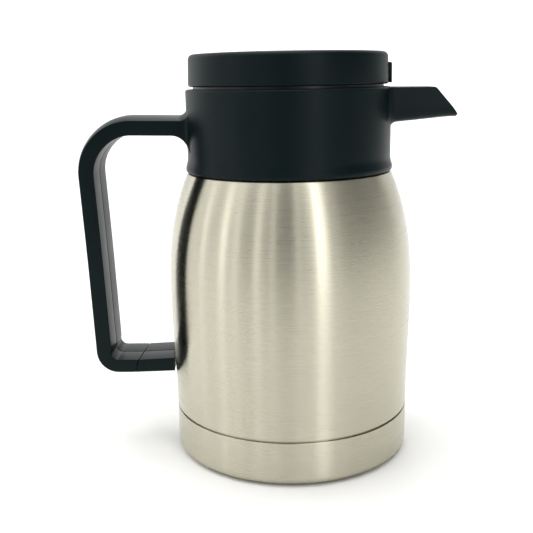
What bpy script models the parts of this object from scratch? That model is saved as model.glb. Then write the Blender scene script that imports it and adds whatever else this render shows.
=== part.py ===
"""Vacuum coffee jug of about two litres: double-walled steel flask, moulded collar with a spout
and a C handle, and a screw lid with a foam-filled plug.

Profiles are (radius, height) pairs in millimetres; the scene is in metres, +Z up. The origin is
the centre of the base pad's underside, the spout points to +X and the handle to -X.
"""

import math

import bmesh
import bpy
from mathutils import Matrix, Vector

MM = 0.001

# Driving dimensions, in millimetres.
BELLY_RADIUS = 75.0  # widest point of the steel body
BELLY_HEIGHT = 101.8
SHOULDER_HEIGHT = 174.9  # the body's flat shoulder, under the collar
SHOULDER_DROP = 13.0  # how much narrower the body is at the shoulder than at the belly
FOOT_DROP = 1.7  # and at its foot
SEAM_HEIGHT = 28.0  # open groove between the body and the base cup
SHEET = 0.8  # steel sheet
VACUUM_GAP = 4.6
COLLAR_TOP = 224.3
COLLAR_BORE = 58.2
LID_RADIUS = 60.0
LID_BOTTOM = 225.9
LID_TOP = 245.3
THREAD_LEAD = 12.0  # rise of the lid in one turn, on a two-start thread
BEAD_RADIUS = 1.4
NECK_BORE = 49.6  # the threaded bore that the plug goes into
PLUG_WALL = 47.1
HANDLE_WIDTH = 34.0
HANDLE_THICKNESS = 9.7
HANDLE_CROWN = 2.8  # how far the grip's outer face stands out along its middle
FOOT_JOINT = -95.0  # where the handle's lower arm meets the separate foot piece
FOOT_END = -74.8
SPOUT_TIP = 100.2
SPOUT_TOP_END = 86.8
SPOUT_ROOF = 224.0
SPOUT_TIP_HEIGHT = 207.3
SPOUT_ROOT_HALF_WIDTH = 19.0
SPOUT_TIP_HALF_WIDTH = 13.5
GAP = 0.3  # clearance between pieces that touch
RING_SIDES = 40
INNER_SIDES = 32


def clear_scene():
    for obj in list(bpy.data.objects):
        bpy.data.objects.remove(obj)


def collection(name, hidden=False):
    made = bpy.data.collections.new(name)
    made.hide_render = hidden
    bpy.context.scene.collection.children.link(made)
    return made


clear_scene()
PARTS = collection("vacuum_jug")
TOOLS = collection("cutters_and_joined_shapes", hidden=True)


def add(name, mesh, finish=None):
    """Links a mesh as a part with its own material, or as a hidden tool when it has no finish."""
    obj = bpy.data.objects.new(name, mesh)
    if finish is None:
        TOOLS.objects.link(obj)
        obj.hide_render = True
        obj.display_type = "WIRE"
        return obj
    PARTS.objects.link(obj)
    colour, roughness, metallic = finish
    material = bpy.data.materials.new(name)
    material.use_nodes = True
    shader = material.node_tree.nodes["Principled BSDF"]
    shader.inputs["Base Color"].default_value = (*colour, 1)
    shader.inputs["Roughness"].default_value = roughness
    shader.inputs["Metallic"].default_value = metallic
    mesh.materials.append(material)
    return obj


BRUSHED_STEEL = ((0.55, 0.53, 0.49), 0.32, 1.0)
PLAIN_STEEL = ((0.50, 0.50, 0.49), 0.22, 1.0)
ALUMINIUM = ((0.80, 0.80, 0.80), 0.25, 1.0)
BLACK_PLASTIC = ((0.012, 0.015, 0.016), 0.42, 0.0)
GREY_PLASTIC = ((0.030, 0.032, 0.034), 0.5, 0.0)
WHITE_FOAM = ((0.80, 0.79, 0.74), 0.9, 0.0)
SILICONE = ((0.55, 0.55, 0.53), 0.6, 0.0)
BLACK_RUBBER = ((0.015, 0.015, 0.015), 0.8, 0.0)
GLASS_SOLDER = ((0.20, 0.22, 0.22), 0.3, 0.0)


def arc(centre, radius, start, end, steps):
    """Points on an arc in the (radius, height) plane, from one angle to another in degrees."""
    turns = [math.radians(start + (end - start) * i / steps) for i in range(steps + 1)]
    return [(centre[0] + radius * math.cos(a), centre[1] + radius * math.sin(a)) for a in turns]


def body_radius(height):
    """Outer radius of the steel body: a full belly, a rounded fall to the shoulder above it
    and a slight draw-in towards the foot below it."""
    span = SHOULDER_HEIGHT - BELLY_HEIGHT
    share = abs(height - BELLY_HEIGHT) / span
    if height > BELLY_HEIGHT:
        return BELLY_RADIUS - SHOULDER_DROP * share**2.5
    return BELLY_RADIUS - FOOT_DROP * (1 - math.cos(math.pi * min(share, 1))) / 2


def body_wall(inset, low, high, steps, downwards=True):
    """The body's outline moved inwards by inset, closer points near the shoulder."""
    heights = [high - (high - low) * (i / steps) ** 1.35 for i in range(steps + 1)]
    wall = [(body_radius(z) - inset, z) for z in heights]
    return wall if downwards else wall[::-1]


def turned(name, profile, finish=None, sides=RING_SIDES):
    """Spins a profile that runs down its outer side. A profile that starts and ends on the axis
    is left open there; any other is closed into a ring."""
    points = [(r * MM, 0, z * MM) for r, z in profile]
    on_axis = profile[0][0] == 0 and profile[-1][0] == 0
    count = len(points)
    edges = [(i, (i + 1) % count) for i in range(count - 1 if on_axis else count)]
    mesh = bpy.data.meshes.new(name)
    mesh.from_pydata(points, edges, [])
    obj = add(name, mesh, finish)
    screw = obj.modifiers.new("turn", "SCREW")
    screw.steps = screw.render_steps = sides
    screw.use_merge_vertices = True
    screw.merge_threshold = 0.00005
    screw.use_smooth_shade = True
    return obj


def block(name, low, high, finish=None):
    """A box between two corners, in millimetres."""
    shape = bmesh.new()
    bmesh.ops.create_cube(shape, size=1)
    size = Vector(high) - Vector(low)
    middle = (Vector(high) + Vector(low)) / 2
    place = Matrix.Translation(middle * MM) @ Matrix.Diagonal((*(size * MM), 1))
    bmesh.ops.transform(shape, matrix=place, verts=shape.verts)
    mesh = bpy.data.meshes.new(name)
    shape.to_mesh(mesh)
    shape.free()
    return add(name, mesh, finish)


def rod(name, x, y, low, high, radius, sides=20):
    """An upright cylinder used as a cutter."""
    shape = bmesh.new()
    place = Matrix.Translation((x * MM, y * MM, (low + high) / 2 * MM))
    bmesh.ops.create_cone(
        shape,
        cap_ends=True,
        segments=sides,
        radius1=radius * MM,
        radius2=radius * MM,
        depth=(high - low) * MM,
        matrix=place,
    )
    mesh = bpy.data.meshes.new(name)
    shape.to_mesh(mesh)
    shape.free()
    return add(name, mesh)


def loft(name, sections, finish=None):
    """Skins sections that all have the same number of (x, y, z) points, and caps both ends."""
    shape = bmesh.new()
    rings = [[shape.verts.new(Vector(p) * MM) for p in section] for section in sections]
    for ring, following in zip(rings, rings[1:]):
        for i in range(len(ring)):
            j = (i + 1) % len(ring)
            shape.faces.new((ring[i], ring[j], following[j], following[i]))
    shape.faces.new(rings[0])
    shape.faces.new(rings[-1])
    bmesh.ops.recalc_face_normals(shape, faces=shape.faces)
    mesh = bpy.data.meshes.new(name)
    shape.to_mesh(mesh)
    shape.free()
    return add(name, mesh, finish)


def curve_to_tool(curve_object, name):
    """Turns a bevelled curve into a closed mesh, so that Booleans can use it."""
    graph = bpy.context.evaluated_depsgraph_get()
    mesh = bpy.data.meshes.new_from_object(curve_object.evaluated_get(graph))
    shape = bmesh.new()
    shape.from_mesh(mesh)
    bmesh.ops.remove_doubles(shape, verts=shape.verts, dist=0.000001)
    bmesh.ops.recalc_face_normals(shape, faces=shape.faces)
    shape.to_mesh(mesh)
    shape.free()
    obj = add(name, mesh)
    obj.matrix_world = curve_object.matrix_world.copy()
    bpy.data.objects.remove(curve_object)
    return obj


def poly_curve(name, points, closed=False, flat=False):
    data = bpy.data.curves.new(name, "CURVE")
    data.dimensions = "2D" if flat else "3D"
    spline = data.splines.new("POLY")
    spline.points.add(len(points) - 1)
    for point, place in zip(spline.points, points):
        point.co = (*(Vector(place) * MM), 1)
    spline.use_cyclic_u = closed
    obj = bpy.data.objects.new(name, data)
    TOOLS.objects.link(obj)
    obj.hide_render = True
    return obj


def boolean(obj, other, operation):
    step = obj.modifiers.new(other.name, "BOOLEAN")
    step.operation = operation
    step.solver = "EXACT"
    step.object = other


def cut(obj, *others):
    for other in others:
        boolean(obj, other, "DIFFERENCE")


def join(obj, *others):
    for other in others:
        boolean(obj, other, "UNION")


def thread_bead(name, radius, low, start_degrees, degrees):
    """A round bead on the right-hand helix that rises THREAD_LEAD in a turn."""
    steps = round(degrees / 12)
    points = []
    for i in range(steps + 1):
        turn = degrees * i / steps
        angle = math.radians(start_degrees + turn)
        height = low + THREAD_LEAD * turn / 360
        points.append((radius * math.cos(angle), radius * math.sin(angle), height))
    bead = poly_curve(name, points)
    bead.data.bevel_depth = BEAD_RADIUS * MM
    bead.data.bevel_resolution = 2
    bead.data.use_fill_caps = True
    return curve_to_tool(bead, name)


def join_two_start_thread(obj, name, radius, low, start_degrees, degrees):
    for start in range(2):
        bead = thread_bead(f"{name}_{start}", radius, low, start_degrees + 180 * start, degrees)
        join(obj, bead)


# The flask: outer shell, base cup, liner, vacuum bottom and what the vacuum needs.

NECK_RADIUS = 46.5  # outside of the steel neck
NECK_TOP = 188.0
CUP_TOP = SEAM_HEIGHT - 0.5
CUP_RADIUS = 73.3
CUP_CORNER = 10.0
CUP_FLOOR = 0.8  # the steel stands this far above the pad's underside
PAD_RECESS_RADIUS = 61.5
BOTTOM_PLATE_TOP = 12.8
LINER_FLOOR = 17.0


def make_outer_shell():
    sleeve = CUP_RADIUS - SHEET - GAP  # the shell's lower end slides into the base cup
    outside = [(NECK_RADIUS, NECK_TOP), (NECK_RADIUS, 185.6), (47.3, 184.6), (47.3, 183.4)]
    outside += [(NECK_RADIUS, 182.4), (NECK_RADIUS, 176.6), (48.2, SHOULDER_HEIGHT)]
    outside += [(61.4, SHOULDER_HEIGHT), (62.0, SHOULDER_HEIGHT - 0.3)]
    outside += body_wall(0, SEAM_HEIGHT + 0.9, 173.8, 9)
    outside += [(sleeve + 0.5, SEAM_HEIGHT + 0.4), (sleeve, SEAM_HEIGHT - 0.4)]
    outside += [(sleeve, CUP_FLOOR + CUP_CORNER + 0.2)]
    inside = [(sleeve - SHEET, CUP_FLOOR + CUP_CORNER + 0.2), (sleeve - SHEET, SEAM_HEIGHT + 0.8)]
    inside += body_wall(SHEET, SEAM_HEIGHT + 3, 172.8, 6, downwards=False)
    inside += [(60.9, SHOULDER_HEIGHT - SHEET), (47.6, SHOULDER_HEIGHT - SHEET)]
    inside += [(NECK_RADIUS - SHEET, 176.3), (NECK_RADIUS - SHEET, NECK_TOP)]
    turned("outer_shell", outside + inside, BRUSHED_STEEL)


def make_base_cup():
    centre = (CUP_RADIUS - CUP_CORNER, CUP_FLOOR + CUP_CORNER)
    inside = [(0, CUP_FLOOR + 2.4), (62.0, CUP_FLOOR + 2.4)]
    inside += arc(centre, CUP_CORNER - SHEET, -90, 0, 4)
    inside += [(CUP_RADIUS - SHEET, CUP_TOP)]
    outside = [(CUP_RADIUS, CUP_TOP)] + arc(centre, CUP_CORNER, 0, -90, 5)
    outside += [(62.6, CUP_FLOOR), (PAD_RECESS_RADIUS, CUP_FLOOR + 1.6), (0, CUP_FLOOR + 1.6)]
    turned("base_cup", inside + outside, BRUSHED_STEEL)


def make_base_pad():
    top = CUP_FLOOR + 1.6 - GAP
    radius = PAD_RECESS_RADIUS - 0.7
    profile = [(0, top), (radius, top), (radius, 0.6), (radius - 0.6, 0), (0, 0)]
    turned("base_pad", profile, BLACK_RUBBER, INNER_SIDES)


def make_inner_liner():
    inset = SHEET + VACUUM_GAP
    outside = [(NECK_RADIUS, 189.0), (NECK_RADIUS, NECK_TOP + GAP), (44.3, NECK_TOP + GAP)]
    outside += [(44.3, 174.5), (45.6, 171.3), (49.0, 169.8), (57.0, 168.4)]
    outside += body_wall(inset, 24.0, 165.0, 6)
    outside += [(64.8, 18.6), (60.0, LINER_FLOOR), (0, LINER_FLOOR)]
    inside = [(0, LINER_FLOOR + 0.7), (59.8, LINER_FLOOR + 0.7), (64.3, 19.2)]
    inside += body_wall(inset + 0.7, 24.2, 164.6, 6, downwards=False)
    inside += [(56.8, 167.7), (48.7, 169.1), (44.9, 170.9), (43.6, 174.4), (43.6, 189.0)]
    turned("inner_liner", inside + outside, PLAIN_STEEL, INNER_SIDES)


def make_outer_bottom():
    low = BOTTOM_PLATE_TOP - SHEET
    rim = CUP_RADIUS - 2 * SHEET - 2 * GAP - 0.2
    profile = [(2.2, BOTTOM_PLATE_TOP), (rim - 1.1, BOTTOM_PLATE_TOP), (rim, 11.7), (rim, 9.4)]
    profile += [(rim - SHEET, 9.4), (rim - SHEET, 11.4), (rim - 1.4, low), (2.2, low)]
    turned("outer_bottom", profile, PLAIN_STEEL, INNER_SIDES)


def make_vacuum_pieces():
    low = BOTTOM_PLATE_TOP - SHEET - GAP
    profile = [(0, 12.5), (1.8, 12.5), (1.8, low), (4.0, low), (3.2, 10.4), (0, 10.0)]
    turned("vacuum_port_seal", profile, GLASS_SOLDER, 16)
    base = BOTTOM_PLATE_TOP + GAP
    profile = [(0, base + 2.4), (4.5, base + 2.4), (5.0, base + 1.9), (5.0, base), (0, base)]
    getter = turned("getter", profile, PLAIN_STEEL, 16)
    getter.location.x = 25 * MM
    profile = body_wall(2.9, 40, 140, 3) + body_wall(3.2, 40, 140, 3, downwards=False)
    turned("heat_shield_foil", profile, ALUMINIUM, INNER_SIDES)


# The neck: gasket, threaded ring and the moulded collar with its spout and handle.

SEAT_TOP = 192.4  # ledge in the neck ring that the plug's seal presses on
FEMALE_LOW = 195.2


def make_neck_gasket():
    profile = [(46.6, 190.3), (46.6, 189.3), (43.9, 189.3), (43.9, 190.3)]
    turned("neck_gasket", profile, SILICONE, INNER_SIDES)


def make_neck_ring():
    wall = NECK_BORE + 2.0
    profile = [(57.9, 208.0), (57.9, 205.8), (54.5, 205.8), (wall, 203.0), (wall, 178.4)]
    profile += [(47.0, 178.4), (47.0, 180.6), (47.8, 181.4), (47.8, 190.6), (43.4, 190.6)]
    profile += [(43.4, 191.8), (44.0, SEAT_TOP), (NECK_BORE, SEAT_TOP), (NECK_BORE, 205.2)]
    profile += [(51.5, 206.8), (55.5, 208.0)]
    ring = turned("neck_ring", profile, GREY_PLASTIC, INNER_SIDES)
    join_two_start_thread(ring, "female_bead", NECK_BORE + 0.1, FEMALE_LOW, 5, 240)


def rounded_path(corners, radii, arc_degrees=9):
    """A flat path through corner points whose inner corners are replaced by arcs."""
    path = [Vector(corners[0])]
    for before, corner, after, radius in zip(corners, corners[1:], corners[2:], radii):
        corner = Vector(corner)
        back = (Vector(before) - corner).normalized()
        ahead = (Vector(after) - corner).normalized()
        half = back.angle(ahead) / 2
        middle = corner + (back + ahead).normalized() * (radius / math.sin(half))
        start = corner + back * (radius / math.tan(half)) - middle
        sweep = start.angle_signed(corner + ahead * (radius / math.tan(half)) - middle)
        steps = max(2, round(abs(math.degrees(sweep)) / arc_degrees))
        for i in range(steps + 1):
            turn = Matrix.Rotation(-sweep * i / steps, 2)
            path.append(middle + turn @ start)
    path.append(Vector(corners[-1]))
    return path


def grip_section():
    """The handle's cross-section: flat inner face, upright sides, crowned outer face.
    Points are (outwards, across), centred on the band between the inner and outer edges."""
    half, thick, soft = HANDLE_WIDTH / 2, HANDLE_THICKNESS / 2, 1.0
    inner = [(-thick, -half + soft), (-thick, half - soft), (-thick + soft, half)]
    inner += [(thick - soft / 2, half)]
    crown = []
    for i in range(7):
        across = (half - soft / 2) * (1 - i / 3)
        crown.append((thick + HANDLE_CROWN * (1 - (across / half) ** 2), across))
    return inner + crown + [(thick - soft / 2, -half), (-thick + soft, -half)]


HANDLE_CORNERS = [(-58.5, 202.0), (-123.35, 203.35), (-117.35, 54.9), (FOOT_JOINT, 54.9)]
HANDLE_CORNER_RADII = [27.5, 9.3]


def make_handle_sweep():
    """The grip's section carried along its path, which lies flat and is then stood upright."""
    path = rounded_path(HANDLE_CORNERS, HANDLE_CORNER_RADII)
    section = poly_curve("grip_section", [(*p, 0) for p in grip_section()], True, flat=True)
    route = poly_curve("grip_route", [(*p, 0) for p in path], flat=True)
    route.data.bevel_mode = "OBJECT"
    route.data.bevel_object = section
    route.data.use_fill_caps = True
    route.rotation_euler.x = math.radians(90)
    bpy.context.view_layer.update()
    sweep = curve_to_tool(route, "handle_sweep")
    bpy.data.objects.remove(section)
    return sweep


def spout_half_width(x):
    share = (x - COLLAR_BORE) / (SPOUT_TIP - COLLAR_BORE)
    return SPOUT_ROOT_HALF_WIDTH + (SPOUT_TIP_HALF_WIDTH - SPOUT_ROOT_HALF_WIDTH) * share


def spout_section(x, floor, roof, inset, corner):
    """A flat-topped channel section with rounded lower corners, at one distance from the axis."""
    half = spout_half_width(x) - inset
    left = arc((-half + corner, floor + corner), corner, 180, 270, 4)
    right = arc((half - corner, floor + corner), corner, 270, 360, 4)
    outline = [(-half, roof)] + left + right + [(half, roof)]
    return [(x, y, z) for y, z in outline]


def make_collar_with_handle():
    outside = [(60.0, COLLAR_TOP), (61.2, 223.7), (61.6, 222.6), (61.4, 183.0), (61.7, 181.4)]
    outside += [(62.6, 179.4), (62.9, 178.0), (62.8, 176.8), (62.3, 175.8), (61.4, 175.2)]
    ledge = 205.5
    inside = [(60.0, 175.2), (COLLAR_BORE, 178.0), (COLLAR_BORE, ledge - 3.6)]
    inside += [(56.2, ledge - 1.6), (56.2, ledge), (COLLAR_BORE, ledge), (COLLAR_BORE, COLLAR_TOP)]
    collar = turned("collar_with_handle", outside + inside, BLACK_PLASTIC)
    join(collar, make_handle_sweep())

    spout = [spout_section(COLLAR_BORE + 0.9, 203.5, SPOUT_ROOF, 0, 6.5)]
    spout += [spout_section(SPOUT_TIP, 206.3, SPOUT_ROOF, 0, 6.0)]
    beak = loft("spout_outside", spout)
    slope = (SPOUT_ROOF - SPOUT_TIP_HEIGHT) / (SPOUT_TIP - SPOUT_TOP_END)
    high = (SPOUT_TOP_END - 4, SPOUT_ROOF + 4 * slope)
    low = (SPOUT_TIP + 4, SPOUT_TIP_HEIGHT - 4 * slope)
    outline = [high, low, (120, low[1]), (120, high[1])]
    beyond = [[(x, y, z) for x, z in outline] for y in (-40, 40)]
    cut(beak, loft("beyond_the_lip", beyond))
    join(collar, beak)
    channel = [spout_section(50.0, 206.0, 220.2, 2.2, 4.4)]
    channel += [spout_section(SPOUT_TIP + 4, 208.6, 222.0, 2.0, 4.2)]
    cut(collar, loft("spout_channel", channel))

    tenon = block("tenon", (FOOT_JOINT - 2, -10, 52.9), (FOOT_JOINT + 7.1, 10, 55.9))
    join(collar, tenon)
    cut(collar, rod("tenon_hole", FIRST_SCREW, 0, 50, 60, 1.9))


# The handle's lower fixing: foot piece, steel bracket and two screws from below.

FIRST_SCREW = -90.6
SECOND_SCREW = -80.5
SCREW_HEAD_LOW = 49.9


def make_handle_foot():
    half = HANDLE_WIDTH / 2

    def section(x, low, high):
        crown = []
        for i in range(7):
            across = (half - 0.5) * (1 - i / 3)
            crown.append((across, low - HANDLE_CROWN * (1 - (across / half) ** 2)))
        top = [(-half, low + 0.5), (-half, high - 1), (-half + 1, high)]
        top += [(half - 1, high), (half, high - 1), (half, low + 0.5)]
        return [(x, y, z) for y, z in crown + top]

    near = FOOT_JOINT + GAP
    sections = [section(near, 50.6, 59.0), section(-70.0, 51.8, 60.1)]
    foot = loft("handle_foot", sections, BLACK_PLASTIC)
    cut(foot, rod("body_clearance", 0, 0, 30, 80, -FOOT_END, 96))
    cut(foot, block("tenon_pocket", (FOOT_JOINT - 3, -10.3, 52.6), (-87.5, 10.3, 56.2)))
    cut(foot, block("tongue_slot", (-86.4, -9.3, 53.3), (-70.0, 9.3, 55.9)))
    cut(foot, block("plate_recess", (-75.6, -9.6, 51.7), (-70.0, 9.6, 58.1)))
    for i, x in enumerate((FIRST_SCREW, SECOND_SCREW)):
        cut(foot, rod(f"screw_head_hole_{i}", x, 0, 40.0, SCREW_HEAD_LOW + 2.2, 3.6))
        cut(foot, rod(f"screw_shank_hole_{i}", x, 0, 45.0, 56.6, 1.8))


def make_handle_bracket():
    bracket = block("handle_bracket", (-75.2, -8.8, 52.1), (-74.15, 8.8, 57.7), PLAIN_STEEL)
    join(bracket, block("tongue", (-86.0, -8.9, 53.8), (-74.6, 8.9, 55.4)))
    cut(bracket, rod("tongue_hole", SECOND_SCREW, 0, 50, 60, 1.8))


def make_handle_screw(name, x):
    """A pan-head screw, head downwards, with a cross recess."""
    head = SCREW_HEAD_LOW
    profile = [(0, 55.7), (1.0, 55.7), (1.4, 55.1), (1.4, head + 1.9), (3.3, head + 1.9)]
    profile += [(3.3, head + 0.7), (2.6, head), (0, head)]
    screw = turned(name, profile, PLAIN_STEEL, 20)
    screw.location.x = x * MM
    low, high = head - 1, head + 1.1
    cut(screw, block(f"{name}_slot_x", (x - 1.7, -0.4, low), (x + 1.7, 0.4, high)))
    cut(screw, block(f"{name}_slot_y", (x - 0.4, -1.7, low), (x + 0.4, 1.7, high)))


# The lid: cap, threaded plug, its base, foam and seals.

SEAL_TOP = 194.9


def make_lid_cap():
    top_edge = LID_RADIUS - 0.5
    outside = [(0, LID_TOP), (30, LID_TOP - 0.1), (48, LID_TOP - 0.4)]
    outside += arc((top_edge - 3.4, LID_TOP - 4.2), 3.4, 78, 0, 5)
    outside += [(LID_RADIUS, LID_BOTTOM + 1.1), (LID_RADIUS - 0.9, LID_BOTTOM)]
    inside = [(57.3, LID_BOTTOM), (57.3, 228.0), (55.9, 238.5), (53.5, 241.0), (0, 242.0)]
    cap = turned("lid_cap", outside + inside, BLACK_PLASTIC)
    mark = [(58.6, 227.3), (61.2, 227.0), (61.6, 227.4), (61.5, 238.0), (60.9, 239.0), (58.6, 239.1)]
    join(cap, loft("pour_mark", [[(x, y, z) for x, z in mark] for y in (-5.5, 5.5)]))


def make_lid_plug():
    wall = 2.0
    profile = [(57.0, 227.2), (57.0, 223.6), (54.4, 223.6), (54.4, 220.8), (57.0, 220.8)]
    profile += [(57.0, 219.6), (46.0, 219.6), (44.0, 217.6), (44.0, 208.6), (PLUG_WALL, 206.6)]
    profile += [(PLUG_WALL, SEAL_TOP + GAP), (42.6, SEAL_TOP + GAP), (42.6, 188.6)]
    profile += [(42.6 - wall, 188.6), (42.6 - wall, 206.0), (42.0, 209.5), (42.0, 221.6)]
    profile += [(53.0, 225.0), (55.0, 227.2)]
    plug = turned("lid_plug", profile, GREY_PLASTIC, INNER_SIDES)
    # Half a pitch above the ring's beads, so that each bead runs between two of them.
    low = FEMALE_LOW + THREAD_LEAD / 4 - 1.0
    join_two_start_thread(plug, "male_bead", PLUG_WALL + 0.2, low, -25, 210)


def make_plug_base():
    profile = [(0, 191.0), (40.3, 191.0), (40.3, 188.3), (43.0, 188.3), (43.0, 187.0)]
    profile += [(42.2, 186.4), (0, 186.4)]
    turned("plug_base", profile, GREY_PLASTIC, INNER_SIDES)


def make_lid_foam():
    profile = [(0, 224.0), (39.5, 224.0), (39.5, 191.4), (0, 191.4)]
    turned("lid_foam", profile, WHITE_FOAM, 32)


def make_lid_seals():
    profile = [(45.8, SEAL_TOP), (47.2, SEAL_TOP - 0.8), (47.2, SEAL_TOP - 1.6)]
    profile += [(46.4, SEAT_TOP + GAP), (42.9, SEAT_TOP + GAP), (42.9, SEAL_TOP)]
    turned("plug_seal", profile, SILICONE, INNER_SIDES)
    profile = [(55.6, 223.3), (57.2, 222.9), (57.9, 222.2), (57.2, 221.5), (55.6, 221.1)]
    profile += [(54.7, 221.1), (54.7, 223.3)]
    turned("upper_seal", profile, SILICONE, INNER_SIDES)


make_outer_shell()
make_base_cup()
make_base_pad()
make_inner_liner()
make_outer_bottom()
make_vacuum_pieces()
make_neck_gasket()
make_neck_ring()
make_collar_with_handle()
make_handle_foot()
make_handle_bracket()
make_handle_screw("handle_screw_arm", FIRST_SCREW)
make_handle_screw("handle_screw_bracket", SECOND_SCREW)
make_lid_cap()
make_lid_plug()
make_plug_base()
make_lid_foam()
make_lid_seals()
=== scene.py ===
# %% [markdown]
# # A vacuum coffee jug
# The real object is a double-walled stainless flask with a black moulded collar. The collar
# carries the spout and the C handle, and a twist lid with a hollow plug closes it. The packed
# model fixes every size and joint; this lesson gives each visible part its fine surface.

# %% Load the frame
import math

import bmesh
import bpy
from mathutils import Matrix, Vector


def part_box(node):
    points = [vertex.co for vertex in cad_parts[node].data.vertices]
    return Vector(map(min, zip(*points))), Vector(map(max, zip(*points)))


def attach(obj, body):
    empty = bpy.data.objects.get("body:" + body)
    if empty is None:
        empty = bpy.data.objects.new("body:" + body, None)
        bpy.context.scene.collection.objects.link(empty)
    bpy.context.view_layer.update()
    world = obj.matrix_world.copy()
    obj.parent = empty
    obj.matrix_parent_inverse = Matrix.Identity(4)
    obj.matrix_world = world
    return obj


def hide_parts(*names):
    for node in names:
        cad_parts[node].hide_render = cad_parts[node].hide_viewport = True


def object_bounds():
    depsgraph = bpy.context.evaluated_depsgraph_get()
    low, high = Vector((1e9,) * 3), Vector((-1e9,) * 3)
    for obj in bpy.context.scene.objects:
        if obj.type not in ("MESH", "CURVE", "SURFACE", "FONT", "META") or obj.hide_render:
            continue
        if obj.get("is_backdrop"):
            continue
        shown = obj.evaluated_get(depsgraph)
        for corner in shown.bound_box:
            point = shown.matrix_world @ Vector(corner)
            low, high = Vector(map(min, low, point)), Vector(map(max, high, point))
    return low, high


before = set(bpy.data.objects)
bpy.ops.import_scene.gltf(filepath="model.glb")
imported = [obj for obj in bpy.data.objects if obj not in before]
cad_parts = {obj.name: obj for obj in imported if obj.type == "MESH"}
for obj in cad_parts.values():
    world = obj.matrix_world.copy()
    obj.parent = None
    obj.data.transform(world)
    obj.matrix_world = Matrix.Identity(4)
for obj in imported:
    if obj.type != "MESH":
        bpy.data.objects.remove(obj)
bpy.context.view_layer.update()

MM = 0.001
SIDES = 192  # facets round a turned part: fine enough for a clean outline

# %% [markdown]
# Colours are written as sRGB hex values, as a designer would note them, and Blender's shaders
# want linear light, so one function turns the one into the other.

# %% Colour helper
def linear(hex_colour):
    """An sRGB hex colour as linear RGBA."""
    values = [int(hex_colour[i : i + 2], 16) / 255 for i in (1, 3, 5)]
    return [v / 12.92 if v <= 0.04045 else ((v + 0.055) / 1.055) ** 2.4 for v in values] + [1]


# %% [markdown]
# A material is a small graph. One helper adds a node, sets what is constant on it and links
# the rest; everything else about a finish is then plain data next to the words that explain it.

# %% Node helper
def add_node(tree, kind, settings=None, links=None):
    """Adds a node with its settings (properties or unlinked inputs) and its incoming links."""
    made = tree.nodes.new(kind)
    for name, value in (settings or {}).items():
        if isinstance(name, str) and hasattr(made, name):
            setattr(made, name, value)
        else:
            made.inputs[name].default_value = value
    for name, source in (links or {}).items():
        tree.links.new(source, made.inputs[name])
    return made


def start_material(name):
    material = bpy.data.materials.new(name)
    material.use_nodes = True
    material.node_tree.nodes.clear()
    return material, material.node_tree


def end_material(material, tree, shader_settings, shader_links):
    shader = add_node(tree, "ShaderNodeBsdfPrincipled", shader_settings, shader_links)
    add_node(tree, "ShaderNodeOutputMaterial", None, {"Surface": shader.outputs[0]})
    print("material:", material.name)
    return material


# %% [markdown]
# ## Camera
# The view is a product shot: the jug's middle at arm's length, seen from a little above, with
# the spout to the right. The camera is made first so that every later step can be looked at.

# %% Camera
CAMERA_PLACE = (0, -0.513, 0.2322)
CAMERA_PITCH = 12.94  # degrees below the horizon
CAMERA_YAW = 1.647  # degrees towards the handle
CAMERA_ROLL = -0.996
camera_data = bpy.data.cameras.new("product_camera")
camera_data.lens = 56.4
camera_data.sensor_width = 36
camera_data.clip_start = 0.01
camera = bpy.data.objects.new("product_camera", camera_data)
bpy.context.scene.collection.objects.link(camera)
turn = Matrix.Rotation(math.radians(CAMERA_YAW), 4, "Z")
turn = turn @ Matrix.Rotation(math.radians(90 - CAMERA_PITCH), 4, "X")
turn = turn @ Matrix.Rotation(math.radians(CAMERA_ROLL), 4, "Z")
camera.matrix_world = Matrix.Translation(CAMERA_PLACE) @ turn
bpy.context.scene.camera = camera
print("camera looks along", [round(v, 3) for v in turn @ Vector((0, 0, -1))])

# %% [markdown]
# ## Studio
# Brushed steel is only as good as what it mirrors. The floor is pale paper and the backdrop
# plain white. Round the jug stands a ring of soft strip lamps with dimmer gaps between them:
# round steel turns those into the upright light and dark bands that say "brushed metal".

# %% Floor
FLOOR_FRONT = -0.8  # the table ends here, a little behind the camera
FLOOR_FAR = 6.0

paper, tree = start_material("matt_white_paper")
grain = add_node(tree, "ShaderNodeTexNoise", {"Scale": 900.0, "Detail": 3.0})
fibre = add_node(tree, "ShaderNodeBump", {"Strength": 0.02}, {"Height": grain.outputs[0]})
paper = end_material(
    paper,
    tree,
    {"Base Color": linear("#F4F4F3"), "Roughness": 0.95, "Specular IOR Level": 0.2},
    {"Normal": fibre.outputs[0]},
)
mesh = bpy.data.meshes.new("studio_floor")
corners = [(-FLOOR_FAR, FLOOR_FRONT, 0), (FLOOR_FAR, FLOOR_FRONT, 0)]
corners += [(FLOOR_FAR, FLOOR_FAR, 0), (-FLOOR_FAR, FLOOR_FAR, 0)]
mesh.from_pydata(corners, [], [(0, 1, 2, 3)])
mesh.materials.append(paper)
floor = bpy.data.objects.new("studio_floor", mesh)
bpy.context.scene.collection.objects.link(floor)
floor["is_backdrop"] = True

# %% [markdown]
# The ring dims below the horizon. A white ceiling straight above lights what faces up. The
# camera sees neither of them, only the backdrop.

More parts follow.
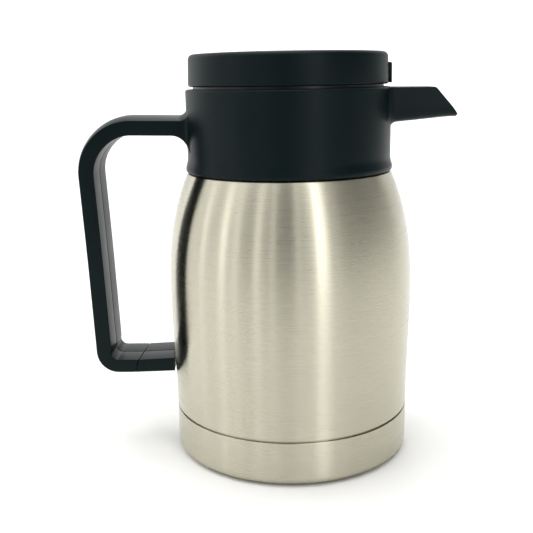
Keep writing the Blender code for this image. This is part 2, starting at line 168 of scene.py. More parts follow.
# %% Ring of strip lamps
# Compass direction in degrees, 0 towards the camera and 90 towards the spout, and brightness.
LAMP_RING = [
    (-180, 1.6), (-158, 0.7), (-125, 1.25), (-100, 1.05), (-94, 0.8), (-90, 2.0), (-85, 0.7),
    (-71, 0.85), (-66, 2.3), (-60, 0.55), (-51, 1.2), (-47, 0.45), (-36, 0.45), (-31, 1.4),
    (-26, 0.5), (-20, 0.4), (-16, 0.9), (-12, 0.25), (0, 0.2), (4, 0.3), (8, 0.8), (12, 0.5),
    (22, 0.7), (28, 2.6), (34, 2.0), (40, 0.7), (60, 0.3), (80, 0.2), (110, 0.28), (135, 0.7),
    (160, 0.7), (180, 1.6),
]
BRIGHTEST = 3.0  # what the ramp's white stands for
CEILING = 1.5
BACKDROP = 1.1
world = bpy.data.worlds.new("studio_light")
bpy.context.scene.world = world
world.use_nodes = True
sky = world.node_tree
sky.nodes.clear()
direction = add_node(sky, "ShaderNodeTexCoord")
axes = add_node(sky, "ShaderNodeSeparateXYZ", None, {0: direction.outputs["Generated"]})
towards = add_node(sky, "ShaderNodeMath", {"operation": "MULTIPLY", 1: -1.0}, {0: axes.outputs[1]})
compass = add_node(
    sky, "ShaderNodeMath", {"operation": "ARCTAN2"}, {0: axes.outputs[0], 1: towards.outputs[0]}
)
share = add_node(
    sky,
    "ShaderNodeMapRange",
    {"From Min": -math.pi, "From Max": math.pi},
    {"Value": compass.outputs[0]},
)
ring = add_node(sky, "ShaderNodeValToRGB", None, {"Fac": share.outputs[0]})
ring.color_ramp.interpolation = "EASE"
while len(ring.color_ramp.elements) < len(LAMP_RING):
    ring.color_ramp.elements.new(0.5)
for stop, (degrees, brightness) in zip(ring.color_ramp.elements, LAMP_RING):
    stop.position = (degrees + 180) / 360
    stop.color = (*[brightness / BRIGHTEST] * 3, 1)
below = add_node(
    sky,
    "ShaderNodeMapRange",
    {"From Min": -0.30, "From Max": -0.10, "To Min": 0.3 * BRIGHTEST, "To Max": BRIGHTEST},
    {"Value": axes.outputs[2]},
)
lamps = add_node(
    sky, "ShaderNodeBackground", None, {"Color": ring.outputs[0], "Strength": below.outputs[0]}
)
above = add_node(
    sky,
    "ShaderNodeMapRange",
    {"From Min": 0.80, "From Max": 0.95, "To Min": 0.0, "To Max": CEILING},
    {"Value": axes.outputs[2]},
)
ceiling = add_node(
    sky, "ShaderNodeBackground", {"Color": linear("#FFFFFF")}, {"Strength": above.outputs[0]}
)
lit = add_node(sky, "ShaderNodeAddShader", None, {0: lamps.outputs[0], 1: ceiling.outputs[0]})
backdrop = add_node(
    sky, "ShaderNodeBackground", {"Color": linear("#FFFFFF"), "Strength": BACKDROP}
)
seen_directly = add_node(sky, "ShaderNodeLightPath")
choice = add_node(
    sky, "ShaderNodeMixShader", None,
    {0: seen_directly.outputs["Is Camera Ray"], 1: lit.outputs[0], 2: backdrop.outputs[0]},
)
add_node(sky, "ShaderNodeOutputWorld", None, {"Surface": choice.outputs[0]})
print("lamp ring:", len(LAMP_RING), "stops")

# %% [markdown]
# A weak and very wide light overhead lifts the paper and the lid's top a little. It is kept out
# of the steel's mirror image, where it would blot out the bands.

# %% Overhead light
overhead = bpy.data.lights.new("overhead_box", "SUN")
overhead.energy = 0.25
overhead.angle = math.radians(70)
lamp = bpy.data.objects.new("overhead_box", overhead)
lamp.visible_glossy = False
bpy.context.scene.collection.objects.link(lamp)
bpy.context.scene.view_settings.view_transform = "Standard"
bpy.context.scene.view_settings.look = "Medium High Contrast"

# %% [markdown]
# ## Finishes
# **Brushed stainless steel.** The drawn body is spun against an abrasive belt, so fine
# scratches run round it. They spread a reflection up and down but hardly sideways, which is
# anisotropy with its tangent round the axis. Belt scratches are 0.05 to 0.1 mm wide; they are
# drawn about 0.5 mm wide here, because finer ones would not show.

# %% Brushed stainless steel
SCRATCH = 0.5  # mm between drawn scratches
SCRATCH_RUN = 60.0  # mm along the brushing before a scratch fades


def brushed_steel(name, colour, rough_low, rough_high, anisotropy):
    material, tree = start_material(name)
    place = add_node(tree, "ShaderNodeTexCoord")
    stretch = add_node(
        tree,
        "ShaderNodeMapping",
        {"Scale": (1 / (SCRATCH_RUN * MM), 1 / (SCRATCH_RUN * MM), 1 / (SCRATCH * MM))},
        {"Vector": place.outputs["Object"]},
    )
    scratches = add_node(
        tree,
        "ShaderNodeTexNoise",
        {"Scale": 1.0, "Detail": 4.0, "Roughness": 0.65},
        {"Vector": stretch.outputs[0]},
    )
    clouds = add_node(
        tree,
        "ShaderNodeTexNoise",
        {"Scale": 14.0, "Detail": 3.0},
        {"Vector": place.outputs["Object"]},
    )
    mixed = add_node(
        tree,
        "ShaderNodeMath",
        {"operation": "MULTIPLY_ADD", 1: 0.35},
        {0: clouds.outputs[0], 2: scratches.outputs[0]},
    )
    rough = add_node(
        tree,
        "ShaderNodeMapRange",
        {"From Min": 0.45, "From Max": 0.9, "To Min": rough_low, "To Max": rough_high},
        {"Value": mixed.outputs[0]},
    )
    tint = add_node(
        tree,
        "ShaderNodeMix",
        {"data_type": "RGBA", 6: linear(colour[0]), 7: linear(colour[1])},
        {0: scratches.outputs[0]},
    )
    bump = add_node(
        tree,
        "ShaderNodeBump",
        {"Strength": 0.04, "Distance": 0.02 * MM},
        {"Height": scratches.outputs[0]},
    )
    around = add_node(tree, "ShaderNodeTangent", {"direction_type": "RADIAL", "axis": "Z"})
    return end_material(
        material,
        tree,
        {"Metallic": 1.0, "Anisotropic": anisotropy, "Anisotropic Rotation": 0.25},
        {
            "Base Color": tint.outputs[2],
            "Roughness": rough.outputs[0],
            "Normal": bump.outputs[0],
            "Tangent": around.outputs[0],
        },
    )


body_steel = brushed_steel(
    "stainless_304_belt_brushed", ("#C1BDAC", "#C8C5B5"), 0.26, 0.31, 1.0
)
liner_steel = brushed_steel(
    "stainless_304_electropolished", ("#C6C6C4", "#D2D2D0"), 0.16, 0.24, 0.2
)
foil = brushed_steel("aluminium_foil_rolled", ("#DADADA", "#E6E6E6"), 0.14, 0.3, 0.1)

# %% [markdown]
# **Moulded polypropylene.** The collar, handle and lid come out of a spark-eroded mould: a
# fine even grain, satin and almost black with a trace of green. Grain of 0.1 mm is drawn at
# 0.35 mm. Only the reflection tells the shape, so the base colour stays very dark.

# %% Moulded plastics
def moulded_plastic(name, dark, light, roughness, grain_mm, bump_strength, ior=1.49, shine=0.5):
    material, tree = start_material(name)
    place = add_node(tree, "ShaderNodeTexCoord")
    grain = add_node(
        tree,
        "ShaderNodeTexNoise",
        {"Scale": 1 / (grain_mm * MM), "Detail": 2.0, "Roughness": 0.5},
        {"Vector": place.outputs["Object"]},
    )
    flow = add_node(
        tree,
        "ShaderNodeTexNoise",
        {"Scale": 25.0, "Detail": 4.0},
        {"Vector": place.outputs["Object"]},
    )
    tint = add_node(
        tree,
        "ShaderNodeMix",
        {"data_type": "RGBA", 6: linear(dark), 7: linear(light)},
        {0: flow.outputs[0]},
    )
    rough = add_node(
        tree,
        "ShaderNodeMapRange",
        {"From Min": 0.3, "From Max": 0.7, "To Min": roughness - 0.04, "To Max": roughness + 0.04},
        {"Value": flow.outputs[0]},
    )
    bump = add_node(
        tree,
        "ShaderNodeBump",
        {"Strength": bump_strength, "Distance": 0.03 * MM},
        {"Height": grain.outputs[0]},
    )
    return end_material(
        material,
        tree,
        {"IOR": ior, "Specular IOR Level": shine},
        {
            "Base Color": tint.outputs[2],
            "Roughness": rough.outputs[0],
            "Normal": bump.outputs[0],
        },
    )


black_plastic = moulded_plastic(
    "polypropylene_black_spark_grain", "#0A1819", "#0D1E20", 0.36, 0.35, 0.2, shine=0.2
)
grey_plastic = moulded_plastic(
    "polypropylene_dark_grey_smooth", "#15191A", "#1C2021", 0.30, 0.6, 0.1
)
silicone = moulded_plastic(
    "silicone_translucent_white_moulded", "#BEBEB8", "#CACAC4", 0.5, 0.8, 0.1, 1.41
)
rubber = moulded_plastic("rubber_black_moulded", "#101010", "#181818", 0.7, 0.5, 0.5, 1.52)
foam = moulded_plastic("polyurethane_foam_cut", "#DDD6BE", "#EFE9D6", 0.9, 1.2, 1.0, 1.3)
solder = moulded_plastic("glass_solder_fused", "#3A4444", "#4C5656", 0.15, 2.0, 0.05, 1.6)

# %% [markdown]
# ## Turned shapes
# Most of the jug is round, so one function rounds the corners of an outline and another spins
# it. Rounding in the outline gives real edges that catch light, with no bevel afterwards.

# %% Outline and lathe
def rounded(corners, closed=True, step=9):
    """Points of an outline whose corners (radius, height, fillet) are replaced by arcs."""
    count = len(corners)
    points = []
    for i, (x, y, fillet) in enumerate(corners):
        corner = Vector((x, y))
        ends = not closed and i in (0, count - 1)
        if ends or fillet == 0:
            points.append(tuple(corner))
            continue
        back = Vector(corners[i - 1][:2]) - corner
        ahead = Vector(corners[(i + 1) % count][:2]) - corner
        half = back.angle(ahead) / 2
        reach = min(fillet / math.tan(half), 0.49 * back.length, 0.49 * ahead.length)
        if reach < 0.01:  # as good as straight
            points.append(tuple(corner))
            continue
        start = corner + back.normalized() * reach
        end = corner + ahead.normalized() * reach
        middle = corner + (back.normalized() + ahead.normalized()).normalized() * (
            reach / math.cos(half)
        )
        sweep = (start - middle).angle_signed(end - middle)
        steps = max(1, math.ceil(abs(math.degrees(sweep)) / step - 0.01))
        for j in range(steps + 1):
            turned = Matrix.Rotation(-sweep * j / steps, 2) @ (start - middle)
            points.append(tuple(middle + turned))
    return points


def mesh_from(name, shape):
    """Finishes a bmesh: welds it, points its faces outwards and shades it smooth."""
    bmesh.ops.remove_doubles(shape, verts=shape.verts, dist=0.000002)
    bmesh.ops.recalc_face_normals(shape, faces=shape.faces)
    mesh = bpy.data.meshes.new(name)
    shape.to_mesh(mesh)
    shape.free()
    mesh.shade_smooth()
    mesh.set_sharp_from_angle(angle=math.radians(40))
    return mesh


def lathe(name, profile, closed=True):
    """Spins an outline in millimetres about the jug's axis."""
    shape = bmesh.new()
    points = [shape.verts.new((r * MM, 0, z * MM)) for r, z in profile]
    pairs = zip(points, points[1:] + points[:1]) if closed else zip(points, points[1:])
    edges = [shape.edges.new(pair) for pair in pairs]
    bmesh.ops.spin(
        shape, geom=points + edges, cent=(0, 0, 0), axis=(0, 0, 1),
        angle=math.tau, steps=SIDES, use_merge=True,
    )
    return mesh_from(name, shape)


def piece(name, mesh, body, material, slot, *nodes):
    """Puts a mesh in the scene as a piece that rides on a body and stands for CAD nodes."""
    obj = bpy.data.objects.new(name, mesh)
    bpy.context.scene.collection.objects.link(obj)
    obj.data.materials.clear()
    obj.data.materials.append(material)
    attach(obj, body)
    if nodes:
        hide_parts(*nodes)
    print("piece:", name, len(mesh.polygons), "faces")
    return obj


# %% [markdown]
# ## The steel body
# The shell is drawn from sheet: a full belly, a rounded fall to the shoulder and a slight
# draw-in to the foot. A power curve gives the fall and a cosine the draw-in, so the outline
# has no kinks for the reflections to show.

# %% Steel body
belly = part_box("outer_shell")[1].x / MM
neck_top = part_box("outer_shell")[1].z / MM
SHEET = 0.8
BELLY_HEIGHT = 101.8
SHOULDER_HEIGHT = 174.9
SHOULDER_DROP = 13.0
FOOT_DROP = 1.7
GROOVE_TOP = 28.9
NECK_RADIUS = 46.5
CUP_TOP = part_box("base_cup")[1].z / MM
CUP_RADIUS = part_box("base_cup")[1].x / MM


def body_radius(height):
    share = abs(height - BELLY_HEIGHT) / (SHOULDER_HEIGHT - BELLY_HEIGHT)
    if height > BELLY_HEIGHT:
        return belly - SHOULDER_DROP * share**2.5
    return belly - FOOT_DROP * (1 - math.cos(math.pi * min(share, 1))) / 2


def body_wall(inset, low, high, steps):
    heights = [high - (high - low) * (i / steps) ** 1.2 for i in range(steps + 1)]
    return [(body_radius(z) - inset, z, 0) for z in heights]


sleeve = CUP_RADIUS - SHEET - 0.3
outside = [(NECK_RADIUS, neck_top, 0.3), (NECK_RADIUS, 185.8, 0.5), (47.3, 184.0, 0.8)]
outside += [(NECK_RADIUS, 182.2, 0.5), (NECK_RADIUS, SHOULDER_HEIGHT, 1.6)]
outside += [(61.9, SHOULDER_HEIGHT, 0.6)]
outside += body_wall(0, GROOVE_TOP + 0.5, 174.1, 36)
outside += [(body_radius(GROOVE_TOP), GROOVE_TOP, 0.3), (sleeve, GROOVE_TOP - 0.2, 0.2)]
outside += [(sleeve, 11.0, 0)]
inside = [(sleeve - SHEET, 11.0, 0), (sleeve - SHEET, GROOVE_TOP + 0.8, 0)]
inside += body_wall(SHEET, GROOVE_TOP + 2, 172.5, 12)[::-1]
inside += [(60.5, SHOULDER_HEIGHT - SHEET, 0.5), (45.7, SHOULDER_HEIGHT - SHEET, 2.2)]
inside += [(45.7, neck_top, 0.3)]
shell = lathe("steel_body", rounded(outside + inside))
piece("steel_body", shell, "jug", body_steel, "brushed_steel", "outer_shell")

# %% [markdown]
# The base is a second drawn cup, pushed over the shell's lower end. Its edge stops short of
# the body, and the open groove between them reads as a thin dark line.

# %% Base cup and pad
CUP_CORNER = 9.3
outside = [(CUP_RADIUS, CUP_TOP, 0.35), (CUP_RADIUS, 0.8, CUP_CORNER), (62.6, 0.8, 0.5)]
outside += [(61.5, 2.4, 0.4), (0, 2.4, 0)]
inside = [(0, 3.2, 0), (62.0, 3.2, 0.4), (62.9, 1.6, 0.4)]
inside += [(CUP_RADIUS - SHEET, 1.6, CUP_CORNER - SHEET), (CUP_RADIUS - SHEET, CUP_TOP, 0.2)]
cup = lathe("steel_base_cup", rounded(inside + outside, closed=False, step=6), closed=False)
piece("steel_base_cup", cup, "jug", body_steel, "brushed_steel", "base_cup")

pad_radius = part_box("base_pad")[1].x / MM
pad = [(0, 2.1, 0), (pad_radius, 2.1, 0.3), (pad_radius, 0, 0.5)]
for ridge in range(4):
    inner = pad_radius - 6 - 9 * ridge
    pad += [(inner + 1.5, 0, 0.3), (inner + 1.0, 0.6, 0.3)]
    pad += [(inner - 1.0, 0.6, 0.3), (inner - 1.5, 0, 0.3)]
pad += [(0, 0, 0)]
mesh = lathe("rubber_base_pad", rounded(pad, closed=False), closed=False)
piece("rubber_base_pad", mesh, "jug", rubber, "black_rubber", "base_pad")

# %% [markdown]
# ## The collar moulding
# Collar, spout and handle are one moulding with soft fillets where they meet. The collar is
# turned. The spout and the handle are skinned from rings of points, and each widens along a
# quarter circle as it nears the collar, so the fillet is part of its own surface. Near the
# collar the rings lie on cylinders round the jug's axis, so that they meet it squarely.

# %% Skin, fillet and union helpers
COLLAR_RADIUS = 61.4
EMBED = 1.6  # how deep the handle and the spout start inside the collar's wall


def skin(name, rings):
    """Joins rings of equally many (x, y, z) points in millimetres and caps both ends."""
    shape = bmesh.new()
    loops = [[shape.verts.new(Vector(p) * MM) for p in ring] for ring in rings]
    for loop, following in zip(loops, loops[1:]):
        for i in range(len(loop)):
            j = (i + 1) % len(loop)
            shape.faces.new((loop[i], loop[j], following[j], following[i]))
    shape.faces.new(loops[0])
    shape.faces.new(loops[-1])
    return mesh_from(name, shape)


def fillet(distance, radius):
    """How far a surface widens at a distance from the collar, along a quarter circle."""
    gap = radius - min(max(distance, 0), radius)
    return radius - math.sqrt(radius**2 - gap**2)


def wrapped(distance, y):
    """How far a ring point lies back towards the axis because its ring bends round the collar."""
    bend = 1 - min(max((distance - 8) / 12, 0), 1)
    reach = COLLAR_RADIUS + distance
    return reach - math.sqrt(reach**2 - (bend * y) ** 2)


def union_of(name, meshes, cuts=()):
    """One closed mesh: the first mesh joined with the others, less the cuts."""
    objects = []
    for i, mesh in enumerate([*meshes, *cuts]):
        obj = bpy.data.objects.new(f"{name}_{i}", mesh)
        bpy.context.scene.collection.objects.link(obj)
        objects.append(obj)
    for i, tool in enumerate(objects[1:], 1):
        step = objects[0].modifiers.new(f"step_{i}", "BOOLEAN")
        step.operation = "UNION" if i < len(meshes) else "DIFFERENCE"
        step.solver = "EXACT"
        step.object = tool
    graph = bpy.context.evaluated_depsgraph_get()
    mesh = bpy.data.meshes.new_from_object(objects[0].evaluated_get(graph))
    for obj in objects:
        bpy.data.objects.remove(obj)
    mesh.name = name
    mesh.shade_smooth()
    mesh.set_sharp_from_angle(angle=math.radians(40))
    return mesh


def box_tool(low, high):
    """An upright box in millimetres, to cut with."""
    (x0, y0, z0), (x1, y1, z1) = low, high
    rings = [[(x, y0, z0), (x, y1, z0), (x, y1, z1), (x, y0, z1)] for x in (x0, x1)]
    return skin("box_tool", rings)


def drill(x, low, high, radius):
    """An upright round tool in millimetres, to cut with."""
    turns = [math.tau * i / 48 for i in range(48)]
    circle = [(x + radius * math.cos(t), radius * math.sin(t)) for t in turns]
    return skin("drill", [[(*point, z) for point in circle] for z in (low, high)])


# %% Collar ring
COLLAR_TOP = 224.3
BORE = 58.2
ring = [(59.0, COLLAR_TOP, 0.6), (61.6, COLLAR_TOP, 1.3), (COLLAR_RADIUS, 182.2, 14)]
ring += [(62.6, 178.3, 2.6), (62.6, 175.6, 2.0), (60.0, 175.6, 0.5), (BORE, 178.4, 1)]
ring += [(BORE, 202.3, 0.5), (56.2, 203.9, 0.5), (56.2, 205.5, 0.2), (BORE, 205.5, 0.2)]
ring += [(BORE, COLLAR_TOP, 0.5)]
collar_mesh = lathe("collar_ring", rounded(ring))

# %% [markdown]
# The handle is a flat band, 34 mm wide, bent to a C. Its outer face is crowned for the palm;
# its inner face is flat, with a fine parting line down the middle where the mould's halves
# meet. It is thickest in the grip and thins a little towards the foot.

# %% Handle
HANDLE_WIDTH = 34.0
CROWN = 2.8
UPPER_FILLET, LOWER_FILLET, SIDE_FILLET = 5.0, 10.0, 3.0
UPPER_ARM = 150  # above this height the band belongs to the upper arm and its bend
NO_FILLET = 100  # a distance from the collar at which nothing widens any more
FOOT_JOINT = -95.0
FOOT_LOW, FOOT_HIGH = 50.9, 58.9  # the foot's faces at the joint
LEAN_START = -108  # from here to the joint the sections lean over little by little
JOINT_LEAN = 0.30  # the joint to the foot leans, further out at the bottom
JOINT_SKEW = 0.05  # and is not quite square across the band
ARM_SCREW, BRACKET_SCREW = -90.6, -80.5


def band_section(out, inward):
    """The grip's section as (outwards, across) pairs: how far its faces stand from its path."""
    half = HANDLE_WIDTH / 2
    line = 0.5  # half width of the parting line
    edge = [(-inward, -half, 0.6), (-inward, -line, 0.2), (-inward + 0.4, 0, 0)]
    edge += [(-inward, line, 0.2), (-inward, half, 0.6)]
    outer = []
    for i in range(17):
        across = half * (1 - i / 8)
        corner = 0.5 if i in (0, 16) else 0
        outer.append((out + CROWN * (1 - (across / half) ** 2), across, corner))
    return rounded(edge + outer, step=18)


def spaced(path, near_gap, far_gap, near_length):
    """Evenly spaced points along a path, closer together over its first stretch."""
    lengths = [0]
    for a, b in zip(path, path[1:]):
        lengths.append(lengths[-1] + (Vector(b) - Vector(a)).length)
    found, run, i = [], 0.0, 0
    while run < lengths[-1] - 0.05:
        while lengths[i + 1] < run:
            i += 1
        share = (run - lengths[i]) / (lengths[i + 1] - lengths[i])
        found.append(Vector(path[i]).lerp(Vector(path[i + 1]), share))
        run += near_gap if run < near_length else far_gap
    return found + [Vector(path[-1])]


def joint_shift(across, z):
    """How far a point beside the joint moves because the joint leans and is skewed."""
    return JOINT_LEAN * (z - FOOT_HIGH) + JOINT_SKEW * across


corners = [(-COLLAR_RADIUS + EMBED, 202.0, 0), (-123.4, 203.3, 27.5), (-120.0, 128.0, 1500)]
corners += [(-117.5, 54.9, 9.3), (FOOT_JOINT, 54.9, 0)]
path = spaced(rounded(corners, closed=False, step=3), 0.4, 1.8, 13)
rings = []
for i, point in enumerate(path):
    ahead = path[min(i + 1, len(path) - 1)] - path[max(i - 1, 0)]
    outward = Vector((ahead.y, -ahead.x)).normalized()
    upper = point.y > UPPER_ARM
    level = min(max((point.y - 55) / 10, 0), 1)  # 0 in the lower arm, 1 in the grip and above
    bend = min(max((-95 - point.x) / 20, 0), 1)  # 0 in the upper arm, 1 round the bend
    out = 4.3 - 0.5 * bend if upper else 4.0 - 0.2 * level
    inward = 4.3 + 1.0 * bend if upper else 4.0 + 1.3 * level
    distance = -point.x - COLLAR_RADIUS if upper else NO_FILLET
    loop = []
    for side, across in band_section(out, inward):
        across *= 1 + fillet(distance, SIDE_FILLET) / (HANDLE_WIDTH / 2)
        if side > 0:
            side += fillet(distance, UPPER_FILLET) * min(side / out, 1)
        else:
            side += fillet(distance, LOWER_FILLET) * side / inward
        x, z = point.x + outward.x * side, point.y + outward.y * side
        if upper:
            x += wrapped(distance, across)
        elif point.x > LEAN_START:
            lean = (point.x - LEAN_START) / (FOOT_JOINT - LEAN_START)
            x += joint_shift(across, z) * lean
        loop.append((x, across, z))
    rings.append(loop)
handle_mesh = skin("handle_band", rings)
tenon = box_tool((FOOT_JOINT - 6, -10, 52.9), (FOOT_JOINT + 7.1, 10, 55.9))
print("handle:", len(rings), "sections of", len(rings[0]), "points")

# %% [markdown]
# The spout is a covered channel with rounded lower edges, cut off on the slant so that the
# last drop falls clear. Its rings lean over gradually to the slant of the mouth, and the last
# ones draw in, which rounds the rim, most of all at the tip.

# %% Spout
ROOF = 224.0
LIP_TOP = 86.2  # distance of the mouth's upper edge from the axis
LIP_TIP = 101.0  # and of its lower edge, if it came to a point
LIP_END = 100.1  # where it is blunted
CHANNEL_END = 106.0  # the tool that cuts the channel runs on past the lip
TIP_HEIGHT = 207.0
SPOUT_FILLET = 3.2


def spout_ring(share, inset, floor, roof, corner, rim=0.0):
    """One ring, from the root at share 0 to the slanted mouth at share 1."""
    half = 19.0 - 5.5 * share - inset
    low = floor[0] + (floor[1] - floor[0]) * min(share / 0.85, 1)
    high = roof[0] + (roof[1] - roof[0]) * share
    outline = rounded(
        [(-half, high, 0.9), (-half, low, corner), (half, low, corner), (half, high, 0.9)]
    )
    slope = (LIP_TIP - LIP_TOP) / (ROOF - TIP_HEIGHT)
    ring = []
    for y, z in outline:
        draw = rim * (1 + 1.6 * min(max((high - z) / (high - low), 0), 1) ** 2)
        y, z = y * (1 - draw / half), z + draw * (1 - 2 * (z - low) / (high - low))
        mouth = min(LIP_TOP + (ROOF - z) * slope, LIP_END if inset == 0 else CHANNEL_END)
        distance = -EMBED + (mouth - COLLAR_RADIUS + EMBED) * share
        if inset == 0:
            widen = fillet(distance, SPOUT_FILLET)
            y *= 1 + widen / half
            z -= widen * min(max((high - 3 - z) / (high - 3 - low), 0), 1)
        ring.append((COLLAR_RADIUS + distance - wrapped(distance, y), y, z))
    return ring


RIM = 0.7
OUTSIDE = (203.4, 206.3), (ROOF, ROOF - 0.3), 6.5
shares = [i / 80 for i in range(21)] + [0.25 + i * 0.07 for i in range(1, 11)]
rings = [spout_ring(share, 0, *OUTSIDE) for share in shares]
for angle in range(0, 91, 10):
    turned = math.radians(angle)
    share = 0.965 + 0.035 * math.sin(turned)
    rings.append(spout_ring(share, 0, *OUTSIDE, RIM * (1 - math.cos(turned))))
beak_mesh = skin("spout_outside", rings)
rings = []
for share in (-0.25, 0.0, 0.25, 0.5, 0.75, 0.94, 0.96, 0.975, 0.99, 1.01, 1.2):
    flare_out = -0.75 * min(max((share - 0.94) / 0.06, 0), 1) ** 2
    rings.append(spout_ring(share, 2.1, (206.2, 208.4), (220.4, 221.8), 4.6, flare_out))
channel_mesh = skin("spout_channel", rings)
cuts = [channel_mesh, drill(ARM_SCREW, 50, 60, 1.9)]
collar = union_of("collar_moulding", [collar_mesh, handle_mesh, beak_mesh, tenon], cuts)
piece("collar_moulding", collar, "jug", black_plastic, "black_plastic", "collar_with_handle")

# %% [markdown]
# The handle's lower arm ends in a separate foot that hides the steel bracket. It carries the
# same section on and stops one millimetre short of the steel along a hollowed end. Inside are
# the pockets for the arm's tenon, the bracket and its two screws, which go in from below.

# %% Handle foot
FOOT_END = 74.8
FOOT_START = FOOT_JOINT + 0.5
rings = []
for i in range(13):
    x = FOOT_START + i * (-70.5 - FOOT_START) / 12
    low, high = FOOT_LOW + 0.9 * i / 12, FOOT_HIGH + 1.2 * i / 12
    ring = []
    for side, across in band_section((high - low) / 2, (high - low) / 2):
        z = (low + high) / 2 - side
        ring.append((x + joint_shift(across, z) * (1 - i / 12), across, z))
    rings.append(ring)
foot_mesh = skin("foot_block", rings)
hollow = lathe("body_hollow", [(0, 80), (FOOT_END, 80), (FOOT_END, 30), (0, 30)], closed=False)
pockets = [box_tool((-101, -10.3, 52.6), (-87.5, 10.3, 56.2))]
pockets += [box_tool((-86.4, -9.3, 53.3), (-70, 9.3, 55.9))]
pockets += [box_tool((-75.6, -9.6, 51.7), (-70, 9.6, 58.1))]
for x in (ARM_SCREW, BRACKET_SCREW):
    pockets += [drill(x, 40, 52.1, 3.6), drill(x, 45, 56.6, 1.8)]
foot = union_of("handle_foot_piece", [foot_mesh], [hollow, *pockets])
piece("handle_foot_piece", foot, "jug", black_plastic, "black_plastic", "handle_foot")

# %% [markdown]
# ## The lid
# The cap is a shallow drum with a slightly domed top and a rounded edge that catches a soft
# line of light. A small upright rib marks the side to turn to the spout.

# %% Lid cap
LID_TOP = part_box("lid_cap")[1].z / MM
LID_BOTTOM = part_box("lid_cap")[0].z / MM
LID_RADIUS = 59.8
MARK_OUT = 61.6
cap = [(0, LID_TOP, 0), (26, LID_TOP - 0.1, 60), (50, LID_TOP - 0.5, 20)]
cap += [(LID_RADIUS - 0.5, LID_TOP - 1.0, 3.0), (LID_RADIUS, LID_BOTTOM, 1.1)]
cap += [(57.3, LID_BOTTOM, 0.3), (57.3, 228.2, 0.5), (55.9, 238.6, 2), (53.0, 241.4, 2)]
cap += [(0, 242.0, 0)]
cap_mesh = lathe("cap_drum", rounded(cap, closed=False, step=6), closed=False)
rib = [(58.2, 226.7, 0), (MARK_OUT, 226.4, 0.4), (MARK_OUT - 0.1, 238.2, 0.8), (58.2, 238.4, 0)]
rib = rounded(rib, step=15)
rings = []
for y, inset in ((-5.5, 0.6), (-5.32, 0.18), (-4.9, 0), (4.9, 0), (5.32, 0.18), (5.5, 0.6)):
    ring = [(min(x, MARK_OUT - inset), y, z - (inset if z > 233 else -inset)) for x, z in rib]
    rings.append(ring)
lid = union_of("lid_cap_piece", [cap_mesh, skin("pour_mark", rings)])
piece("lid_cap_piece", lid, "lid", black_plastic, "black_plastic", "lid_cap")

# %% [markdown]
# The plug screws into the neck ring on a two-start thread: two rounded beads on each side,
# half a pitch apart, so that they run between each other. A bead is skinned along its helix
# from rings that shrink to nothing at both ends, as a mould maker runs a thread out.

# %% Threads
THREAD_LEAD = 12.0
BEAD_RADIUS = 1.4


def bead(radius, low, start_degrees, degrees):
    """One thread bead that climbs from its start through a number of degrees."""
    rings = []
    for turn in range(0, degrees + 1, 3):
        angle = math.radians(start_degrees + turn)
        out = Vector((math.cos(angle), math.sin(angle), 0))
        middle = out * radius + Vector((0, 0, low + THREAD_LEAD * turn / 360))
        size = BEAD_RADIUS * math.sqrt(min(turn, degrees - turn, 12) / 12 * 0.94 + 0.06)
        ring = []
        for t in (math.tau * i / 16 for i in range(16)):
            ring.append(middle + out * size * math.cos(t) + Vector((0, 0, size * math.sin(t))))
        rings.append(ring)
    return skin("bead", rings)


def threaded(name, profile, radius, low, start_degrees, degrees):
    """A turned piece with two beads on opposite sides."""
    starts = [bead(radius, low, start_degrees + 180 * start, degrees) for start in range(2)]
    return union_of(name, [lathe(name, rounded(profile)), *starts])


plug = [(57.0, 227.2, 0.3), (57.0, 223.6, 0.3), (54.4, 223.6, 0.2), (54.4, 220.8, 0.2)]
plug += [(57.0, 220.8, 0.3), (57.0, 219.6, 0.3), (46.0, 219.6, 1), (44.0, 217.6, 2)]
plug += [(44.0, 208.6, 2), (47.1, 206.6, 0.8), (47.1, 195.2, 0.3), (42.6, 195.2, 0.3)]
plug += [(42.6, 188.6, 0.3), (40.6, 188.6, 0.3), (40.6, 206.0, 4), (42.0, 209.5, 4)]
plug += [(42.0, 221.6, 1), (53.0, 225.0, 1), (55.0, 227.2, 0.3)]
mesh = threaded("lid_plug_piece", plug, radius=47.3, low=197.2, start_degrees=-25, degrees=210)
piece("lid_plug_piece", mesh, "lid", grey_plastic, "grey_plastic", "lid_plug")

neck = [(57.9, 208.0, 0.3), (57.9, 205.8, 0.3), (54.5, 205.8, 0.8), (51.6, 203.0, 1)]
neck += [(51.6, 178.4, 0.4), (47.0, 178.4, 0.3), (47.0, 180.6, 0.4), (47.8, 181.4, 0.4)]
neck += [(47.8, 190.6, 0.2), (43.4, 190.6, 0.2), (43.4, 191.8, 0.3), (44.0, 192.4, 0.3)]
neck += [(49.6, 192.4, 0.4), (49.6, 205.2, 1), (51.5, 206.8, 1), (55.5, 208.0, 1)]
mesh = threaded("neck_ring_piece", neck, radius=49.7, low=195.2, start_degrees=5, degrees=240)
piece("neck_ring_piece", mesh, "jug", grey_plastic, "grey_plastic", "neck_ring")

# %% [markdown]
# ## Liner, seals and plug base
# These round pieces show when the lid comes off. The liner is deep drawn and electropolished,
# its mouth turned over the outer neck; the seals are moulded silicone.

# %% Small turned pieces
WALL_INSET = 5.4  # from the body's outside to the liner's outside
LINER_SHEET = 0.7


def liner_wall(inset, low, high):
    heights = [low + (high - low) * i / 20 for i in range(21)]
    return [(body_radius(z) - inset, z, 0) for z in heights]


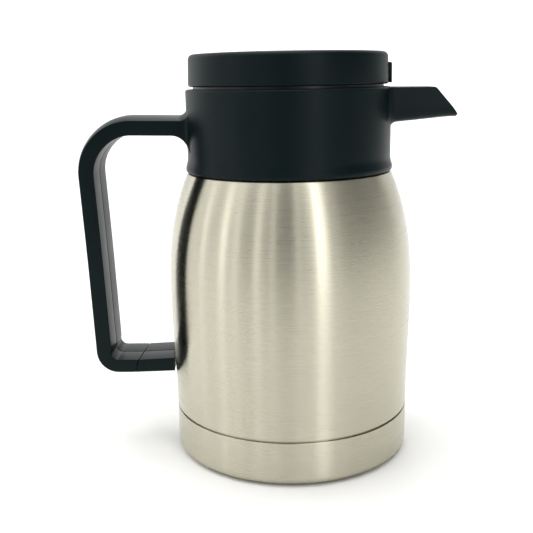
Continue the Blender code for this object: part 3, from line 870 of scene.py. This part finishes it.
outside = [(NECK_RADIUS, 189.0, 0.3), (NECK_RADIUS, 188.35, 0.2), (44.3, 188.35, 0.4)]
outside += [(44.3, 172.0, 3), (49.0, 169.8, 6)] + liner_wall(WALL_INSET, 24.0, 163.0)[::-1]
outside += [(65.5, 17.0, 7), (0, 17.0, 0)]
inside = [(0, 17.7, 0), (64.8, 17.7, 6.3)] + liner_wall(WALL_INSET + LINER_SHEET, 24.2, 162.6)
inside += [(48.7, 169.1, 6), (43.6, 171.4, 3), (43.6, 189.0, 0.5)]
turned_pieces = {
    "inner_liner": (inside + outside, "jug", liner_steel, "plain_steel"),
    "neck_gasket": (
        [(46.6, 190.3, 0.4), (46.6, 189.3, 0.2), (43.9, 189.3, 0.2), (43.9, 190.3, 0.4)],
        "jug", silicone, "silicone",
    ),
    "plug_seal": (
        [(45.8, 194.9, 0.3), (47.2, 194.1, 0.3), (47.2, 193.3, 0.3), (46.4, 192.7, 0.3),
         (42.9, 192.7, 0.2), (42.9, 194.9, 0.2)],
        "lid_seals", silicone, "silicone",
    ),
    "upper_seal": (
        [(55.6, 223.3, 0.2), (57.2, 222.9, 0.2), (57.9, 222.2, 0.3), (57.2, 221.5, 0.2),
         (55.6, 221.1, 0.2), (54.7, 221.1, 0.2), (54.7, 223.3, 0.2)],
        "lid_seals", silicone, "silicone",
    ),
    "plug_base": (
        [(0, 191.0, 0), (40.3, 191.0, 0.3), (40.3, 188.3, 0.2), (43.0, 188.3, 0.2),
         (43.0, 186.4, 0.9), (0, 186.4, 0)],
        "lid", grey_plastic, "grey_plastic",
    ),
}
for node, (profile, body, material, slot) in turned_pieces.items():
    ring = profile[0][0] > 0  # a profile that starts on the axis is left open there
    mesh = lathe(f"{node}_piece", rounded(profile, closed=ring), closed=ring)
    piece(f"{node}_piece", mesh, body, material, slot, node)

# %% [markdown]
# The pieces that stay hidden keep their CAD shapes. Each gets its real material and smooth
# shading.

# %% Finishes of the hidden pieces
HIDDEN = {
    "outer_bottom": liner_steel, "getter": liner_steel, "handle_bracket": liner_steel,
    "handle_screw_arm": liner_steel, "handle_screw_bracket": liner_steel,
    "heat_shield_foil": foil, "vacuum_port_seal": solder, "lid_foam": foam,
}
for name, material in HIDDEN.items():
    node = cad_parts[name]
    node.data.materials.clear()
    node.data.materials.append(material)
    node.data.shade_smooth()
    node.data.set_sharp_from_angle(angle=math.radians(35))
print("hidden pieces:", len(HIDDEN))

# %% [markdown]
# ## Sizes
# The box round the finished model is printed.

# %% Print the sizes and finish
low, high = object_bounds()
print("visual model", [round((b - a) / MM, 1) for a, b in zip(low, high)], "mm")
